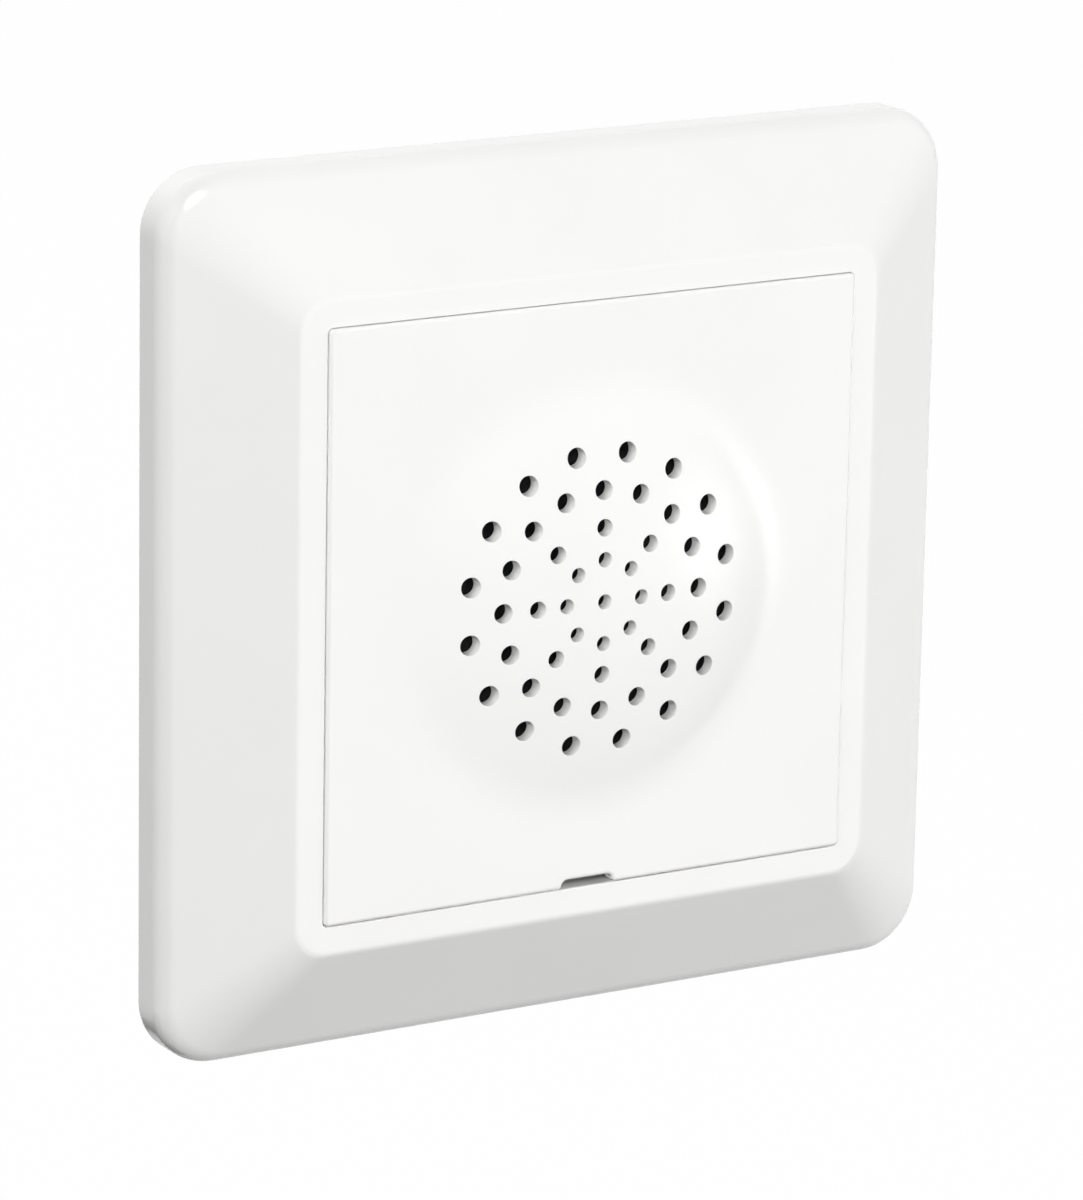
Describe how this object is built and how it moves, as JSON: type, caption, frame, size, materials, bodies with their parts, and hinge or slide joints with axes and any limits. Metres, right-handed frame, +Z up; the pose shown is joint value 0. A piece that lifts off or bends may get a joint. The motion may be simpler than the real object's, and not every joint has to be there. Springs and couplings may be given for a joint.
{
  "type": "doorbell chime box",
  "caption": "Flush wall door chime: square bevelled white cover frame, domed centre plate with a round pattern of sound holes, loudspeaker insert behind for a round wall box.",
  "frame": {"origin": "middle of the support plate's back, on the wall's surface", "axes": "+Z up, +Y into the wall, so the front faces -Y; +X to the right seen from the room"},
  "size_m": [0.082, 0.0362, 0.082],
  "materials": {
    "white_plastic": "smooth glossy white thermoplastic",
    "carrier_plastic": "fine eroded grey",
    "housing_plastic": "fine eroded dark grey",
    "zinc_steel": "zinc plated sheet",
    "screw_steel": "zinc plated",
    "black_foam": "closed-cell foam",
    "black_enamel": "black enamel on sheet steel",
    "surround_rubber": "soft matt",
    "cone_paper": "black pulp",
    "former_paper": "varnished paper",
    "copper_wire": "enamelled copper",
    "spider_cloth": "resin-set cloth",
    "ferrite": "sintered",
    "fibre_board": "resin-bonded fibre",
    "tinned_brass": "tinned",
    "red_insulation": "smooth",
    "black_insulation": "smooth",
    "green_board": "solder lacquer",
    "capacitor_sleeve": "shrunk sleeve",
    "chip_resin": "moulded resin",
    "resistor_lacquer": "lacquer",
    "trimmer_blue": "moulded",
    "rotor_ivory": "moulded",
    "switch_black": "moulded",
    "button_red": "moulded",
    "terminal_plastic": "moulded light grey"
  },
  "bodies": {
    "insert": {"carrier": "carrier_plastic", "housing": "housing_plastic", "support_plate": "zinc_steel", "assembly_screws": "screw_steel", "speaker_gasket": "black_foam", "speaker_basket": "black_enamel", "speaker_top_plate": "zinc_steel", "speaker_magnet": "ferrite", "speaker_yoke": "zinc_steel", "speaker_screws": "screw_steel", "speaker_tag_strip": "fibre_board", "speaker_tags": "tinned_brass", "speaker_lead_red": "red_insulation", "speaker_lead_black": "black_insulation", "circuit_board": "green_board", "capacitors": "capacitor_sleeve", "rectifier": "chip_resin", "melody_chip": "chip_resin", "amplifier_chip": "chip_resin", "chip_legs": "tinned_brass", "resistors": "resistor_lacquer", "volume_trimmer_body": "trimmer_blue", "tune_switch_body": "switch_black", "terminal_block": "terminal_plastic", "contact_strips": "tinned_brass"},
    "frame": {"cover_frame": "white_plastic"},
    "plate": {"centre_plate": "white_plastic"},
    "volume": {"volume_trimmer_rotor": "rotor_ivory"},
    "tune": {"tune_button": "button_red"},
    "cone": {"speaker_cone": "cone_paper", "speaker_dust_cap": "cone_paper", "voice_coil_former": "former_paper", "voice_coil_winding": "copper_wire", "speaker_surround": "surround_rubber", "speaker_spider": "spider_cloth"},
    "screw_left": {"clamp_screw_left": "screw_steel"},
    "screw_right": {"clamp_screw_right": "screw_steel"},
    "cage_left": {"clamp_cage_left": "zinc_steel"},
    "cage_right": {"clamp_cage_right": "zinc_steel"}
  },
  "joints": [
    {"name": "frame_pull", "type": "slide", "parent": "insert", "child": "frame", "axis": [0, -1, 0], "range_m": [0, 0.03]},
    {"name": "plate_pull", "type": "slide", "parent": "frame", "child": "plate", "axis": [0, -1, 0], "range_m": [0, 0.03]},
    {"name": "volume_turn", "type": "hinge", "parent": "insert", "child": "volume", "pos_m": [0.013, -0.007, -0.0209], "axis": [0, -1, 0], "range_deg": [-135, 135]},
    {"name": "tune_press", "type": "slide", "parent": "insert", "child": "tune", "axis": [0, 1, 0], "range_m": [0, 0.0004], "stiffness_N_per_m": 600},
    {"name": "cone_stroke", "type": "slide", "parent": "insert", "child": "cone", "axis": [0, -1, 0], "range_m": [-0.0006, 0.0006], "stiffness_N_per_m": 1500, "deforming": ["speaker_surround", "speaker_spider"]},
    {"name": "cage_draw_left", "type": "slide", "parent": "insert", "child": "cage_left", "axis": [0, 0, -1], "range_m": [0, 0.0022]},
    {"name": "cage_draw_right", "type": "slide", "parent": "insert", "child": "cage_right", "axis": [0, 0, -1], "range_m": [0, 0.0022]},
    {"name": "clamp_turn_left", "type": "hinge", "parent": "insert", "child": "screw_left", "pos_m": [-0.004, 0.0178, -0.01769], "axis": [0, 0, 1], "range_deg": [0, 1761]},
    {"name": "clamp_turn_right", "type": "hinge", "parent": "insert", "child": "screw_right", "pos_m": [0.004, 0.0178, -0.01769], "axis": [0, 0, 1], "range_deg": [0, 1761]}
  ],
  "couplings": [
    {"joint": "clamp_turn_left", "follows": "cage_draw_left", "rad_per_m": 13963},
    {"joint": "clamp_turn_right", "follows": "cage_draw_right", "rad_per_m": 13963}
  ]
}
